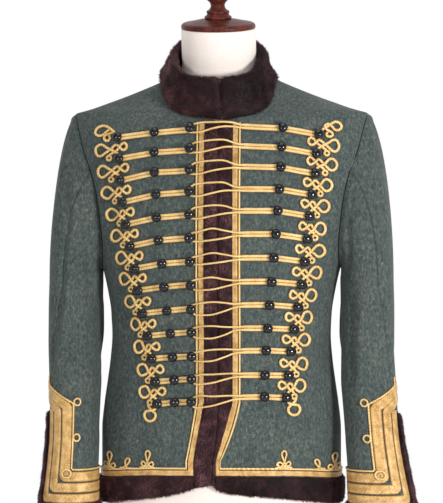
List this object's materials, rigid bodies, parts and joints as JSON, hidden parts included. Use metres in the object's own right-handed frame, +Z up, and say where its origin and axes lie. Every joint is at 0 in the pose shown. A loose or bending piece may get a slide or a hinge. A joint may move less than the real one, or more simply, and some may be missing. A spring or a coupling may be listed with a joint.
{
  "type": "hussar jacket on a limbless dress form",
  "caption": "Braided hussar jacket with fur collar, strips and cuffs, cord frogs and ball buttons, shown fastened on a limbless countertop dress form.",
  "frame": {"origin": "on the floor at the middle of the bounding box, 12.6 mm to the wearer's left of the stand's middle, because the left cuff stands further out", "axes": "+Z up, +X to the wearer's left, -Y out of the buttoned front"},
  "size_m": [0.5874, 0.3376, 1.0987],
  "materials": {
    "wool": "grey-green milled wool, fine weave with a short nap",
    "fur": "short dark brown pile",
    "gold_lace": "ribbed gold thread lace",
    "gold_cord": "braided gold thread cord",
    "button": "glossy near-black balls",
    "form_cloth": "cream cotton jersey",
    "mahogany": "red-brown, polished"
  },
  "bodies": {
    "root": {"front_right": "wool", "front_left": "wool", "back_right": "wool", "back_left": "wool", "sleeve_top_right": "wool", "sleeve_top_left": "wool", "sleeve_under_right": "wool", "sleeve_under_left": "wool", "collar": "fur", "fur_front_right": "fur", "fur_front_left": "fur", "fur_hem_right": "fur", "fur_hem_left": "fur", "fur_cuff_right": "fur", "fur_cuff_left": "fur", "lace_right": "gold_lace", "lace_left": "gold_lace", "chain_right": "gold_cord", "chain_left": "gold_cord", "cuff_lace_1_right": "gold_lace", "cuff_lace_2_right": "gold_lace", "cuff_lace_3_right": "gold_lace", "cuff_cord_right": "gold_cord", "cuff_lace_1_left": "gold_lace", "cuff_lace_2_left": "gold_lace", "cuff_lace_3_left": "gold_lace", "cuff_cord_left": "gold_cord", "frog_right_01": "gold_cord", "frog_right_02": "gold_cord", "frog_right_03": "gold_cord", "frog_right_04": "gold_cord", "frog_right_05": "gold_cord", "frog_right_06": "gold_cord", "frog_right_07": "gold_cord", "frog_right_08": "gold_cord", "frog_right_09": "gold_cord", "frog_right_10": "gold_cord", "frog_right_11": "gold_cord", "frog_right_12": "gold_cord", "frog_right_13": "gold_cord", "frog_left_01": "gold_cord", "frog_left_02": "gold_cord", "frog_left_03": "gold_cord", "frog_left_04": "gold_cord", "frog_left_05": "gold_cord", "frog_left_06": "gold_cord", "frog_left_07": "gold_cord", "frog_left_08": "gold_cord", "frog_left_09": "gold_cord", "frog_left_10": "gold_cord", "frog_left_11": "gold_cord", "frog_left_12": "gold_cord", "frog_left_13": "gold_cord", "form_torso": "form_cloth", "neck_cap": "mahogany", "finial": "mahogany", "stand_pole": "mahogany", "stand_base": "mahogany"}
  },
  "joints": []
}
